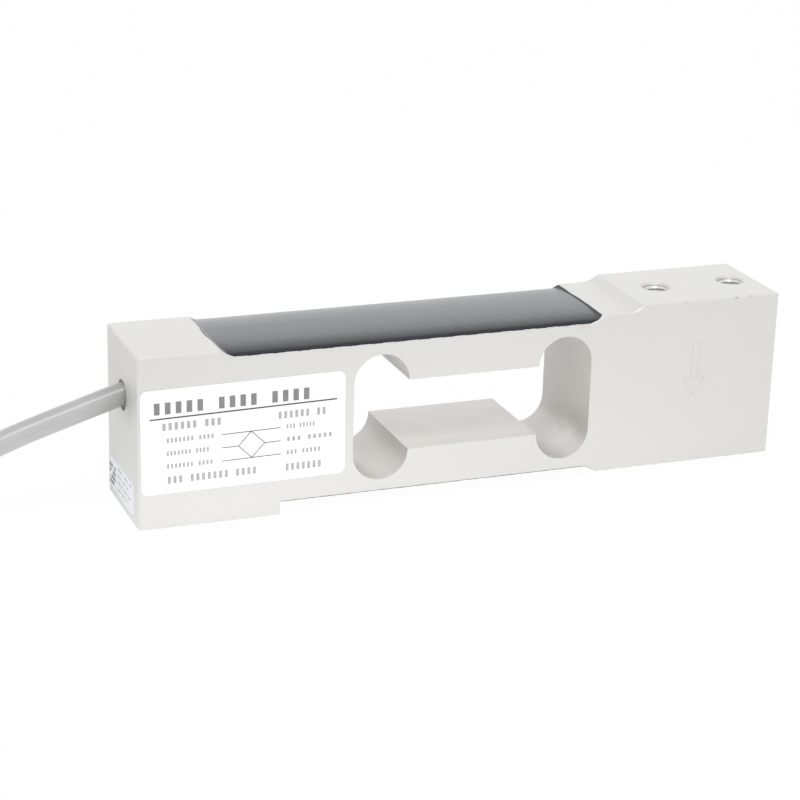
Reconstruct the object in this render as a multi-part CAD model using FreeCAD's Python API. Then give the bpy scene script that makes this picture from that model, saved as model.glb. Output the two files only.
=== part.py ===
import FreeCAD, Part
import math
import os

# Single point load cell: a machined aluminium beam with a dog-bone window, four
# bonded strain gauges in two coated recesses, a six-wire cable and two labels.
# Millimetres. X runs along the beam, the front face is -Y, Z is up. The origin is
# on the foot's mounting face, below the middle of the beam.

V = FreeCAD.Vector

# Beam blank
beam_length = 150.0
beam_width = 25.0
beam_height = 40.0
edge_break = 0.3
cutter_radius = 6.0

# Steps in the beam's top and underside
platform_length = 34.0
platform_step = 1.5
foot_length = 31.3
heel_lift = 1.5

# Gauge recesses, milled across the full width
recess_end = 106.2
top_recess_start = 18.1
top_recess_depth = 1.5
bottom_recess_depth = 3.1

# Window: a slot with a round lobe at each corner
lobe_radius = 6.35
lobe_spacing = 43.3
lobe_rise = 16.0
window_centre = 75.75

# Tapped holes for M6 screws, drawn at the thread's outside diameter
screw_radius = 3.0
screw_depth = 15.0
screw_spacing = 19.0
screw_end_margin = 6.0
mouth_radius = 3.5
drill_tip_angle = 59.0

# Wire passages inside the left block
cable_height = 26.4
gland_radius = 3.4
gland_depth = 14.0
core_bore_radius = 2.25
riser_radius = 2.0
riser_place = 25.5
link_bore_radius = 1.3
link_place = 43.5

# Strain gauges and the small boards beside them
gauge_length = 9.0
gauge_width = 7.0
film_thickness = 0.08
tab_inset = 0.4
tab_length = 1.6
tab_width = 1.8
tab_rise = 0.12
board_length = 8.0
board_width = 13.0
board_thickness = 0.4
board_gap = 0.7
lead_pad_pitch = 2.0
wire_pad_pitch = 1.5
pad_size = 0.9
pad_rise = 0.3
pad_inset = 1.2
pad_gap = 0.12
chip_length = 2.0
chip_width = 1.25
chip_height = 0.35
chip_pitch = 3.0
fine_wire_radius = 0.12
fine_wire_side = 6.0
fine_wire_run = 3.0
wire_ease = 0.5
link_wire_radius = 0.15
link_wire_pitch = 0.4
inner_lead_radius = 0.18
inner_lead_pitch = 0.5
bundle_radius = 1.5
bundle_top = 33.0
bundle_gap = 0.15
wire_lift = 0.02

# Coatings over the recesses
coat_margin = 0.05
coat_edge = 0.35
coat_crown = 1.3
coat_feather = 0.15
pocket_side = 6.6
pocket_low = 0.5
pocket_high = 0.85
pocket_margin = 0.5
pocket_strip = 1.2

# Cable
cable_radius = 2.5
seal_inset = 1.0
seal_length = 5.0
jacket_inside = 13.0
strand_pitch = 5.1
fold_radius = 15.0
hank_near = -152.0
hank_run = 58.0
tail_shift = 4.4
tie_thickness = 0.5
tie_width = 4.0
tie_clearance = 0.05
tie_tail_radius = 0.8
tie_tail_length = 9.0
tie_tail_sink = 0.15
tie_inset = 3.0

# Bare end of the cable
sleeve_wall = 0.4
sleeve_length = 12.0
sleeve_grip = 5.0
lead_radius = 0.5
lead_circle = 1.27
shield_radius = 0.45
shield_reach = 27.0
tip_radius = 0.35
tip_length = 5.0

# Labels
label_thickness = 0.1
front_label_width = 45.2
front_label_height = 23.3
front_label_corner = 1.5
front_label_x = 23.2
front_label_z = 19.75
front_label_tilt = 0.5
end_label_width = 21.3
end_label_height = 8.3
end_label_corner = 0.6
end_label_y = 1.35
end_label_z = 5.45

# Places that follow from the sizes above
left = -beam_length / 2
right = beam_length / 2
half_width = beam_width / 2
top = beam_height - platform_step
top_floor = top - top_recess_depth
bottom_floor = bottom_recess_depth
recess_left = left + top_recess_start
recess_right = left + recess_end
foot_edge = left + foot_length
window_x = left + window_centre
window_z = (top_floor + bottom_floor) / 2
lobe_x = (window_x - lobe_spacing / 2, window_x + lobe_spacing / 2)
lobe_z = (window_z - lobe_rise / 2, window_z + lobe_rise / 2)
riser_x = left + riser_place
link_x = left + link_place
board_x = foot_edge + board_gap + board_length / 2
jacket_end = left + jacket_inside
gland_floor = left + gland_depth
lie_height = cable_radius + tie_thickness + tie_clearance
hank_far = hank_near - hank_run
outer_fold = fold_radius + strand_pitch
tail_side = fold_radius - tail_shift

# Where the cable runs from its seat in the bore to the hank, point by point
cable_route = [
    V(jacket_end, 0, cable_height),
    V(-76.0, 0, cable_height + 0.5),
    V(-99.0, -0.5, 19.5),
    V(-111.0, -4.0, 14.6),
    V(-122.0, -10.0, 9.2),
    V(-132.0, -16.6, 4.6),
    V(-142.5, -outer_fold, lie_height),
    V(hank_near, -outer_fold, lie_height),
]

# Where it leaves the hank again, inside the loop
tail_route = [
    V(hank_far, fold_radius, lie_height),
    V(hank_far + 11.0, fold_radius, lie_height),
    V(hank_far + 23.0, tail_side, lie_height),
    V(hank_far + 33.0, tail_side, lie_height),
]


# ---------------------------------------------------------------- helpers


def save(name, shape):
    shape.exportStep("parts/" + name + ".step")


def box(low, high):
    size = high - low
    return Part.makeBox(size.x, size.y, size.z, low)


def rod(start, end, radius):
    """Straight round bar between two points."""
    axis = end - start
    return Part.makeCylinder(radius, axis.Length, start, axis)


def bent_path(points):
    """Straight runs joined by tangent arcs, each as large as its two runs allow."""
    edges = []
    radii = []
    start = points[0]
    for before, corner, after in zip(points, points[1:], points[2:]):
        back = (before - corner).normalize()
        ahead = (after - corner).normalize()
        half_turn = (math.pi - back.getAngle(ahead)) / 2
        reach = 0.45 * min((before - corner).Length, (after - corner).Length)
        radius = reach / math.tan(half_turn)
        inward = (back + ahead).normalize()
        middle = corner + inward * (radius / math.cos(half_turn) - radius)
        edges.append(Part.LineSegment(start, corner + back * reach).toShape())
        edges.append(Part.Arc(corner + back * reach, middle, corner + ahead * reach).toShape())
        radii.append(radius)
        start = corner + ahead * reach
    edges.append(Part.LineSegment(start, points[-1]).toShape())
    return Part.Wire(edges), radii


def tube(points, radius):
    """Round solid that follows a bent path."""
    if len(points) == 2:
        return rod(points[0], points[1], radius)
    path, radii = bent_path(points)
    ring = Part.Wire(Part.makeCircle(radius, points[0], points[1] - points[0]))
    return path.makePipeShell([ring], True, False)


def wire(points, radius, sides=6):
    """Thin wire made of straight runs with mitred corners."""
    ahead = (points[1] - points[0]).normalize()
    across = ahead.cross(V(0, 0, 1) if abs(ahead.z) < 0.9 else V(0, 1, 0)).normalize()
    up = ahead.cross(across)
    turns = [2 * math.pi * (i + 0.5) / sides for i in range(sides + 1)]
    ring = [points[0] + across * (radius * math.cos(t)) + up * (radius * math.sin(t)) for t in turns]
    ring[-1] = ring[0]
    return Part.makePolygon(points).makePipeShell([Part.makePolygon(ring)], True, False, 1)


def plate(width, height, corner, thickness):
    """Flat plate with rounded corners, centred on the origin in X and Y."""
    solid = Part.makeBox(width, height, thickness, V(-width / 2, -height / 2, 0))
    upright = [e for e in solid.Edges if abs(e.tangentAt(e.FirstParameter).z) > 0.9]
    return solid.makeFillet(corner, upright)


# ---------------------------------------------------------------- beam


def ramp_run(depth):
    """Length that the round cutter needs to climb out of a step of this depth."""
    return math.sqrt(cutter_radius**2 - (cutter_radius - depth) ** 2)


def ramp_arc(x, z, way_x, way_z, depth, start_low):
    """Arc that leaves a floor at (x, z), climbing by depth towards way_x and way_z."""
    angle = math.acos(1 - depth / cutter_radius)
    points = []
    for share in (0.0, 0.5, 1.0):
        across = cutter_radius * math.sin(angle * share)
        climb = cutter_radius * (1 - math.cos(angle * share))
        points.append(V(x + way_x * across, 0, z + way_z * climb))
    if not start_low:
        points.reverse()
    return Part.Arc(points[0], points[1], points[2])


def beam_outline():
    """Side outline of the beam, anticlockwise from the foot's outer corner."""
    heel_depth = bottom_floor - heel_lift
    heel_arc = ramp_arc(recess_right - ramp_run(heel_depth), bottom_floor, 1, -1, heel_depth, True)
    step_foot = right - platform_length - ramp_run(platform_step)
    step_arc = ramp_arc(step_foot, top, 1, 1, platform_step, False)
    run = ramp_run(top_recess_depth)
    right_arc = ramp_arc(recess_right - run, top_floor, 1, 1, top_recess_depth, False)
    left_arc = ramp_arc(recess_left + run, top_floor, -1, 1, top_recess_depth, True)
    corners = [
        [V(left, 0, 0), V(foot_edge, 0, 0), V(foot_edge, 0, bottom_floor), heel_arc.StartPoint],
        [heel_arc.EndPoint, V(right, 0, heel_lift), V(right, 0, beam_height), step_arc.StartPoint],
        [step_arc.EndPoint, right_arc.StartPoint],
        [right_arc.EndPoint, left_arc.StartPoint],
        [left_arc.EndPoint, V(left, 0, top), V(left, 0, 0)],
    ]
    arcs = [heel_arc, step_arc, right_arc, left_arc]
    edges = []
    for index, chain in enumerate(corners):
        edges += [Part.LineSegment(a, b).toShape() for a, b in zip(chain, chain[1:])]
        if index < len(arcs):
            edges.append(arcs[index].toShape())
    return Part.Wire(edges)


def window_cut():
    """Slot between the lobe centres plus the four bored lobes."""
    low = V(lobe_x[0] - lobe_radius, -half_width - 1, lobe_z[0])
    high = V(lobe_x[1] + lobe_radius, half_width + 1, lobe_z[1])
    cut = box(low, high)
    for x in lobe_x:
        for z in lobe_z:
            lobe = Part.makeCylinder(lobe_radius, beam_width + 2, V(x, -half_width - 1, z), V(0, 1, 0))
            cut = cut.fuse(lobe)
    return cut


def tapped_hole(x, face_z, way):
    """Drilled and tapped hole with a countersunk mouth, going into the beam along way."""
    sink = mouth_radius - screw_radius
    tip = screw_radius / math.tan(math.radians(drill_tip_angle))
    profile = [
        V(0, 0, -1),
        V(mouth_radius + 1, 0, -1),
        V(screw_radius, 0, sink),
        V(screw_radius, 0, screw_depth),
        V(0, 0, screw_depth + tip),
    ]
    face = Part.Face(Part.makePolygon(profile + [profile[0]]))
    hole = face.revolve(V(0, 0, 0), V(0, 0, 1), 360)
    if way < 0:
        hole.rotate(V(0, 0, 0), V(1, 0, 0), 180)
    hole.translate(V(x, 0, face_z))
    return hole


def screw_places():
    """Tapped holes: (x, face height, direction into the metal)."""
    end = screw_end_margin
    on_platform = [right - end, right - end - screw_spacing]
    in_foot = [left + end, left + end + screw_spacing]
    return [(x, beam_height, -1) for x in on_platform] + [(x, 0.0, 1) for x in in_foot]


def wire_passages():
    """Cable bore from the left end, the riser to the top recess and the link bore."""
    gland = rod(V(left - 1, 0, cable_height), V(gland_floor, 0, cable_height), gland_radius)
    core = rod(V(left, 0, cable_height), V(riser_x + riser_radius, 0, cable_height), core_bore_radius)
    riser = rod(V(riser_x, 0, cable_height - core_bore_radius), V(riser_x, 0, top), riser_radius)
    link = rod(V(link_x, 0, 0), V(link_x, 0, top), link_bore_radius)
    return [gland, core, riser, link]


def make_beam():
    outline = beam_outline()
    outline.translate(V(0, -half_width, 0))
    blank = Part.Face(outline).extrude(V(0, beam_width, 0))
    blank = blank.makeChamfer(edge_break, outer_edges(blank))
    tools = [window_cut()] + [tapped_hole(*place) for place in screw_places()] + wire_passages()
    return blank.cut(tools).removeSplitter()


def outer_edges(blank):
    """Edges around the front and rear faces, and those across the two ends."""
    chosen = []
    for edge in blank.Edges:
        centre = edge.BoundBox.Center
        on_side = edge.BoundBox.YLength < 1e-6
        on_end = abs(abs(centre.x) - beam_length / 2) < 1e-6
        if on_side or on_end:
            chosen.append(edge)
    return chosen


# ---------------------------------------------------------------- gauges and wiring


def on_floor(solid, side):
    """Turns a piece made on z = 0 onto the top floor (side 1) or the bottom one (-1)."""
    placed = solid.copy()
    if side < 0:
        placed.rotate(V(0, 0, 0), V(1, 0, 0), 180)
    placed.translate(V(0, 0, top_floor if side > 0 else bottom_floor))
    return placed


def make_gauge(x):
    """Gauge film with its measuring grid's two solder tabs, long axis along the beam."""
    low = V(x - gauge_length / 2, -gauge_width / 2, 0)
    high = V(x + gauge_length / 2, gauge_width / 2, film_thickness)
    gauge = box(low, high)
    for side in (-1, 1):
        middle = side * (gauge_width / 2 - tab_width)
        tab_low = V(low.x + tab_inset, middle - tab_width / 2, film_thickness)
        tab_high = tab_low + V(tab_length, tab_width, tab_rise)
        gauge = gauge.fuse(box(tab_low, tab_high))
    return gauge.removeSplitter()


def make_board():
    low = V(board_x - board_length / 2, -board_width / 2, 0)
    high = V(board_x + board_length / 2, board_width / 2, board_thickness)
    return box(low, high)


def pad_row(x, count, pitch):
    """Places of a row of solder pads across the board."""
    return [V(x, (i - (count - 1) / 2) * pitch, board_thickness) for i in range(count)]


def lead_pads():
    """Pads for the six leads of the cable, on the riser's side of the board."""
    return pad_row(board_x - board_length / 2 + pad_inset, 6, lead_pad_pitch)


def wire_pads():
    """Pads for the gauge wires and the link wires, on the gauges' side."""
    return pad_row(board_x + board_length / 2 - pad_inset, 8, wire_pad_pitch)


def make_pads(places):
    """Solder joints, one on each pad."""
    reach = V(pad_size / 2, pad_size / 2, 0)
    return [box(place - reach, place + reach + V(0, 0, pad_rise)) for place in places]


def make_chip(y):
    """Trimming resistor soldered across the middle of the board."""
    low = V(board_x - chip_length / 2, y - chip_width / 2, board_thickness)
    return box(low, low + V(chip_length, chip_width, chip_height))


def gauge_wires():
    """Enamelled wires from the two gauges of one side to its board."""
    tab_x = [x - gauge_length / 2 + tab_inset + tab_length / 2 for x in lobe_x]
    tab_y = gauge_width / 2 - tab_width
    low = film_thickness + tab_rise + fine_wire_radius + wire_lift
    high = board_thickness + fine_wire_radius + wire_lift
    pads = wire_pads()
    stop = pad_size / 2 + pad_gap
    wires = []
    for side, near_pad, far_pad in ((-1, pads[1], pads[0]), (1, pads[6], pads[7])):
        near = [
            V(tab_x[0], side * tab_y, low),
            V(tab_x[0] - fine_wire_run, side * (tab_y + near_pad.y * side) / 2, low),
            V(near_pad.x + fine_wire_run, near_pad.y, high),
            V(near_pad.x + stop, near_pad.y, high),
        ]
        far = [
            V(tab_x[1], side * tab_y, low),
            V(tab_x[1] - 2 * fine_wire_run, side * fine_wire_side, low),
            V(tab_x[0] - fine_wire_run, side * fine_wire_side, low),
            V(far_pad.x + fine_wire_run, far_pad.y, high),
            V(far_pad.x + stop, far_pad.y, high),
        ]
        wires += [wire(near, fine_wire_radius), wire(far, fine_wire_radius)]
    return wires


def link_wires():
    """Four wires through the link bore, from the bottom board to the top one."""
    level = board_thickness + link_wire_radius + wire_lift
    high = top_floor + level
    low = bottom_floor - level
    wires = []
    for index, pad in enumerate(wire_pads()[2:6]):
        y = (index - 1.5) * link_wire_pitch
        points = [
            V(pad.x + pad_size / 2 + pad_gap, pad.y, low),
            V(link_x - wire_ease, y, low),
            V(link_x, y, low + wire_ease),
            V(link_x, y, high - wire_ease),
            V(link_x - wire_ease, y, high),
            V(pad.x + pad_size / 2 + pad_gap, pad.y, high),
        ]
        wires.append(wire(points, link_wire_radius))
    return wires


def inner_leads():
    """Inner ends of the cable's six leads, from the riser to their pads."""
    level = top_floor + board_thickness + inner_lead_radius + wire_lift
    leads = []
    for index, pad in enumerate(lead_pads()):
        y = (index - 2.5) * inner_lead_pitch
        points = [
            V(riser_x, y, bundle_top),
            V(riser_x, y, level - wire_ease),
            V(riser_x + wire_ease, y, level),
            V(pad.x - pad_size / 2 - pad_gap, pad.y, level),
        ]
        leads.append(wire(points, inner_lead_radius))
    return leads


def lead_bundle():
    """The cable's core where its jacket is stripped, up to the foot of the riser's mouth."""
    start = V(jacket_end + bundle_gap, 0, cable_height)
    points = [start, V(riser_x, 0, cable_height), V(riser_x, 0, bundle_top)]
    return wire(points, bundle_radius, 12)


# ---------------------------------------------------------------- coatings


def coat_section(x, floor_z, edge, crown, base_z, side):
    """Cross-section of a coating: a low dome over a flat base."""
    y = half_width - coat_margin
    rise = floor_z + side * edge
    foot_left = V(x, -y, base_z)
    foot_right = V(x, y, base_z)
    shoulder_left = V(x, -y, rise)
    shoulder_right = V(x, y, rise)
    dome = Part.Arc(shoulder_left, V(x, 0, floor_z + side * crown), shoulder_right)
    walls = [
        Part.LineSegment(foot_left, shoulder_left).toShape(),
        dome.toShape(),
        Part.LineSegment(shoulder_right, foot_right).toShape(),
        Part.LineSegment(foot_right, foot_left).toShape(),
    ]
    return Part.Wire(walls)


def ramp_stations(foot_x, way, floor_z, depth, side):
    """Sections up a ramp, from its foot to its top edge, where the coating thins out."""
    angle = math.acos(1 - depth / cutter_radius)
    sections = []
    for share in (0.0, 0.35, 0.7, 1.0):
        x = foot_x + way * cutter_radius * math.sin(angle * share)
        climb = cutter_radius * (1 - math.cos(angle * share))
        edge = coat_edge + (coat_feather - coat_edge) * share
        crown = coat_crown + (coat_feather * 1.4 - coat_crown) * share
        base = floor_z - side
        sections.append(coat_section(x, floor_z + side * climb, edge, crown, base, side))
    return sections


def metal_under(outline):
    """Metal that a coating lies on, as a block wider than the coating."""
    outline = Part.Wire([edge.toShape() if hasattr(edge, "toShape") else edge for edge in outline])
    outline.translate(V(0, -half_width - 1, 0))
    return Part.Face(outline).extrude(V(0, beam_width + 2, 0))


def chain(points):
    """Straight edges through the points."""
    return [Part.LineSegment(a, b) for a, b in zip(points, points[1:])]


def coat_pockets(side):
    """Room left in a coating for the gauges, the board and their wires."""
    board_end = board_x - board_length / 2 - pocket_margin
    riser_end = riser_x - riser_radius - pocket_margin
    first_end = riser_end if side > 0 else board_end
    gauge_reach = gauge_length / 2 + pocket_margin
    gauge_start = lobe_x[0] - gauge_reach
    wire_turn = lobe_x[1] - gauge_reach - 2 * fine_wire_run
    pockets = [
        (first_end, gauge_start, -pocket_side, pocket_side, pocket_high),
        (gauge_start, lobe_x[0] + gauge_reach, -pocket_side, pocket_side, pocket_low),
        (wire_turn, lobe_x[1] + gauge_reach, -pocket_side, pocket_side, pocket_low),
        (lobe_x[0], lobe_x[1], -pocket_side, -pocket_side + pocket_strip, pocket_low),
        (lobe_x[0], lobe_x[1], pocket_side - pocket_strip, pocket_side, pocket_low),
    ]
    low = -1.0
    return [on_floor(box(V(x0, y0, low), V(x1, y1, z1)), side) for x0, x1, y0, y1, z1 in pockets]


def make_top_coat():
    run = ramp_run(top_recess_depth)
    left_end = ramp_stations(recess_left + run, -1, top_floor, top_recess_depth, 1)
    right_end = ramp_stations(recess_right - run, 1, top_floor, top_recess_depth, 1)
    left_end.reverse()
    blank = Part.makeLoft(left_end + right_end, True, True)
    left_arc = ramp_arc(recess_left + run, top_floor, -1, 1, top_recess_depth, False)
    right_arc = ramp_arc(recess_right - run, top_floor, 1, 1, top_recess_depth, True)
    low_right = V(recess_right + 1, 0, top_floor - 2)
    low_left = V(recess_left - 1, 0, top_floor - 2)
    outline = [left_arc] + chain([left_arc.EndPoint, right_arc.StartPoint]) + [right_arc]
    shoulder_right = V(recess_right + 1, 0, top)
    shoulder_left = V(recess_left - 1, 0, top)
    outline += chain([right_arc.EndPoint, shoulder_right, low_right, low_left, shoulder_left])
    outline += chain([shoulder_left, left_arc.StartPoint])
    return blank.cut(metal_under(outline))


def make_bottom_coat():
    depth = bottom_floor - heel_lift
    right_end = ramp_stations(recess_right - ramp_run(depth), 1, bottom_floor, depth, -1)
    at_foot = coat_section(foot_edge, bottom_floor, coat_edge, coat_crown, bottom_floor + 1, -1)
    blank = Part.makeLoft([at_foot] + right_end, True, True)
    arc = ramp_arc(recess_right - ramp_run(depth), bottom_floor, 1, -1, depth, True)
    start = V(foot_edge - 1, 0, bottom_floor)
    high = bottom_floor + 2
    outline = chain([start, arc.StartPoint]) + [arc]
    outline += chain([arc.EndPoint, V(recess_right + 1, 0, heel_lift), V(recess_right + 1, 0, high)])
    outline += chain([V(recess_right + 1, 0, high), V(foot_edge - 1, 0, high), start])
    return blank.cut(metal_under(outline))


# ---------------------------------------------------------------- cable


def make_seal(cable):
    """Sealant between the cable and its bore, a little below the end face."""
    start = V(left + seal_inset, 0, cable_height)
    plug = rod(start, start + V(seal_length, 0, 0), gland_radius)
    return plug.cut(cable)


def bar_outline(low_x, high_x, low_y, high_y):
    """Strand of the hank that runs straight, as a block of the cable's thickness."""
    low = V(low_x, low_y, lie_height - cable_radius)
    return box(low, V(high_x, high_y, lie_height + cable_radius))


def half_ring(x, y, inner, outer, way):
    """Fold of the hank: half a flat ring that bulges towards way along X."""
    base = V(x, y, lie_height - cable_radius)
    height = 2 * cable_radius
    ring = Part.makeCylinder(outer, height, base).cut(Part.makeCylinder(inner, height, base))
    near_side = x if way > 0 else x - outer
    half = box(V(near_side, y - outer, 0), V(near_side + outer, y + outer, 4 * cable_radius))
    return ring.common(half)


def make_hank():
    """Outer shape of two long turns of cable, wound inwards side by side."""
    inner = fold_radius - cable_radius
    outer = outer_fold + cable_radius
    front = bar_outline(hank_far, hank_near, -outer, -inner)
    rear = bar_outline(hank_far, hank_near, outer - 2 * cable_radius, outer)
    far = half_ring(hank_far, 0, inner, outer, -1)
    near_radius = (outer_fold + fold_radius) / 2
    near_y = (outer_fold - fold_radius) / 2
    near = half_ring(hank_near, near_y, near_radius - cable_radius, near_radius + cable_radius, 1)
    return front.fuse([rear, far, near]).removeSplitter()


def make_tie(x, side):
    """Twist tie around the two strands of one side, with its twisted end on top."""
    middle = side * (outer_fold + fold_radius) / 2
    half_y = (outer_fold - fold_radius) / 2 + cable_radius + tie_clearance
    half_z = cable_radius + tie_clearance
    centre = V(x, middle, lie_height)
    reach = V(tie_width / 2, half_y, half_z)
    wall = V(0, tie_thickness, tie_thickness)
    band = box(centre - reach - wall, centre + reach + wall).cut(box(centre - reach, centre + reach))
    level = half_z + tie_thickness + tie_tail_radius - tie_tail_sink
    start = centre + V(-tie_width / 2, 0, level)
    tail = rod(start, start + V(tie_tail_length, 0, 0), tie_tail_radius)
    return band.fuse(tail).removeSplitter()


def make_sleeve():
    """Heat-shrink sleeve over the jacket's end."""
    end = tail_route[-1]
    start = end - V(sleeve_grip, 0, 0)
    outer = rod(start, start + V(sleeve_length, 0, 0), cable_radius + sleeve_wall)
    return outer.cut(rod(start, start + V(sleeve_length, 0, 0), cable_radius))


def lead_route(angle, spread, reach):
    """One lead: out of the sleeve, then down to the surface, fanning sideways."""
    end = tail_route[-1]
    across = lead_circle * math.cos(math.radians(angle))
    up = lead_circle * math.sin(math.radians(angle))
    first = end + V(0, across, up)
    shares = ((0.3, 0.0, 1.0), (0.62, 0.66, 0.35), (0.82, 0.88, 0.0), (1.0, 1.0, 0.0))
    route = [first]
    for ahead, aside, height in shares:
        y = end.y + across + aside * (spread - across)
        route.append(V(end.x + ahead * reach, y, lead_radius + height * (first.z - lead_radius)))
    return route


def make_tip(route):
    """Tinned end of a lead, in line with its last run."""
    ahead = (route[-1] - route[-2]).normalize()
    return wire([route[-1], route[-1] + ahead * tip_length], tip_radius, 12)


def make_shield():
    """Twisted shield strands, down to the surface between the leads."""
    end = tail_route[-1]
    drop = shield_radius - lie_height
    shares = ((0.0, 0.0, 0.0), (0.26, 0.0, 0.0), (0.63, -0.3, drop), (1.0, 0.4, drop))
    return wire([end + V(share * shield_reach, y, z) for share, y, z in shares], shield_radius, 12)


# Where each lead leaves the core, in degrees round it, how far it fans out sideways
# at its end and how far it reaches
lead_layout = {
    "lead_red": (0, 4.6, 20.5),
    "lead_black": (60, 3.6, 25.0),
    "lead_green": (300, 1.5, 24.2),
    "lead_white": (120, -1.6, 25.0),
    "lead_blue": (240, -3.4, 23.6),
    "lead_brown": (180, -5.4, 24.6),
}


# ---------------------------------------------------------------- labels


def make_front_label():
    """Rectangular label on the front face, stuck on very slightly askew."""
    label = plate(front_label_width, front_label_height, front_label_corner, label_thickness)
    label.rotate(V(0, 0, 0), V(0, 0, 1), front_label_tilt)
    label.rotate(V(0, 0, 0), V(1, 0, 0), 90)
    label.translate(V(left + front_label_x, -half_width, front_label_z))
    return label


def make_end_label():
    """Narrow label low on the left end face."""
    label = plate(end_label_width, end_label_height, end_label_corner, label_thickness)
    label.rotate(V(0, 0, 0), V(1, 0, 0), 90)
    label.rotate(V(0, 0, 0), V(0, 0, 1), -90)
    label.translate(V(left, end_label_y, end_label_z))
    return label


# ---------------------------------------------------------------- assembly


def make_side(side):
    """Gauges, board, solder joints and wires of one recess, by node name."""
    name = "top" if side > 0 else "bottom"
    places = wire_pads() + (lead_pads() if side > 0 else [])
    parts = {
        "strain_gauge_" + name + "_left": on_floor(make_gauge(lobe_x[0]), side),
        "strain_gauge_" + name + "_right": on_floor(make_gauge(lobe_x[1]), side),
        "terminal_board_" + name: on_floor(make_board(), side),
        "gauge_wires_" + name: [on_floor(wire, side) for wire in gauge_wires()],
        "solder_joints_" + name: [on_floor(joint, side) for joint in make_pads(places)],
    }
    return parts


def main():
    os.makedirs("parts", exist_ok=True)
    beam = make_beam()
    top_parts = make_side(1)
    bottom_parts = make_side(-1)
    links = link_wires()
    leads = inner_leads()
    chips = [on_floor(make_chip(y), 1) for y in (-chip_pitch, 0.0, chip_pitch)]
    parts = {"beam_body": beam, **top_parts, **bottom_parts}
    parts["link_wires"] = links
    parts["inner_leads"] = leads
    parts["lead_bundle"] = lead_bundle()
    parts["span_resistors"] = [chips[0], chips[2]]
    parts["zero_resistor"] = chips[1]

    parts["top_coating"] = make_top_coat().cut(coat_pockets(1))
    parts["bottom_coating"] = make_bottom_coat().cut(coat_pockets(-1))

    cable = tube(cable_route, cable_radius)
    parts["cable_tube"] = cable
    parts["cable_seal"] = make_seal(cable)
    parts["cable_hank"] = make_hank()
    parts["cable_tail"] = tube(tail_route, cable_radius)
    parts["hank_tie_front"] = make_tie(hank_near - hank_run / 2, -1)
    parts["hank_tie_rear"] = make_tie(hank_far + tie_inset, 1)
    parts["end_sleeve"] = make_sleeve()
    tips = []
    for name, layout in lead_layout.items():
        route = lead_route(*layout)
        parts[name] = wire(route, lead_radius, 12)
        tips.append(make_tip(route))
    parts["tinned_tips"] = tips
    parts["shield_wire"] = make_shield()
    parts["front_label"] = make_front_label()
    parts["end_label"] = make_end_label()

    for name, shape in parts.items():
        save(name, Part.makeCompound(shape) if isinstance(shape, list) else shape)
    for name, route in (("cable", cable_route), ("tail", tail_route)):
        print(name, "bend radii", [round(radius, 1) for radius in bent_path(route)[1]])


main()
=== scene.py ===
import math

import bmesh
import bpy
import numpy as np
from mathutils import Matrix, Vector


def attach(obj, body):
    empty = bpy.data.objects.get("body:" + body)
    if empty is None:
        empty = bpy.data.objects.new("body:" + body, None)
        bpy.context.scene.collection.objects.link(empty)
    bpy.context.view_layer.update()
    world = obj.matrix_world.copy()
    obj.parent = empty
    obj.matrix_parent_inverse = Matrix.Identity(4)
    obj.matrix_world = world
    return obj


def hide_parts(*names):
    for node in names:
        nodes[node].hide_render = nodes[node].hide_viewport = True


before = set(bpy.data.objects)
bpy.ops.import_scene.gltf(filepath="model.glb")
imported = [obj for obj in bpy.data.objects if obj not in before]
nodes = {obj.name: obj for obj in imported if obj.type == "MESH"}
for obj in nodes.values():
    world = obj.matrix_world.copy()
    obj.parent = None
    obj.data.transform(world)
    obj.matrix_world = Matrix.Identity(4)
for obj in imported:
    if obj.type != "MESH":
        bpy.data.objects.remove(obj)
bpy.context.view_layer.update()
print("frame loaded,", len(nodes), "nodes")


def addObject(name, data):
    # a new object with this data, at the origin
    item = bpy.data.objects.new(name, data)
    bpy.context.scene.collection.objects.link(item)
    return item


def addNode(tree, kind, sockets=None, **settings):
    # a new node with its own settings; each socket takes a constant or another node's output
    node = tree.nodes.new("ShaderNode" + kind)
    for key, value in settings.items():
        setattr(node, key, value)
    for key, value in (sockets or {}).items():
        if isinstance(value, bpy.types.NodeSocket):
            tree.links.new(value, node.inputs[key])
        else:
            node.inputs[key].default_value = value
    return node


camera = {
    "place": (-0.191399, -0.459921, 0.195700),
    "right": (0.93461, -0.35465, 0.02687),
    "ahead": (0.34245, 0.87690, -0.33731),
    "lens": 106.22,
    "sensor": 36.0,
    "clip": (0.01, 50.0),
}

room = {
    "floorSize": 8.0,
    "floorTint": (0.94, 0.94, 0.94, 1.0),
    "shadowShare": 0.04,            # how much of the floor's own shading the camera still sees
    "white": (1.0, 1.0, 1.0, 1.0),
    "skyStrength": 0.76,
    "glowPlace": (-0.04, -0.035),   # painted light: a patch of the table in front of the beam that glows and lights its lower front
    "glowSize": (0.16, 0.045),
    "glowStrength": 1.0,
    "aim": (0.0, 0.0, 0.02),        # what the lamps face
    "lamps": {
        # place, size (one number for a round lamp) and power
        "keyPanel": ((0.22, -1.30, 0.55), (0.9,), 0.8),
        "topPanel": ((-0.20, -0.64, 1.27), (0.48,), 4.0),
        "rearPanel": ((0.28, 1.40, 0.36), (2.2, 0.68), 3.0),
    },
}


def addCamera():
    # the camera's own axes are right, up and back, and up is back crossed with right
    data = bpy.data.cameras.new("camera")
    data.sensor_width = camera["sensor"]
    data.lens = camera["lens"]
    data.clip_start, data.clip_end = camera["clip"]
    item = addObject("camera", data)
    right = Vector(camera["right"]).normalized()
    back = -Vector(camera["ahead"]).normalized()
    up = back.cross(right).normalized()
    back = right.cross(up)
    turn = Matrix((right, up, back)).transposed().to_4x4()
    item.matrix_world = Matrix.Translation(Vector(camera["place"])) @ turn
    bpy.context.scene.camera = item


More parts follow.
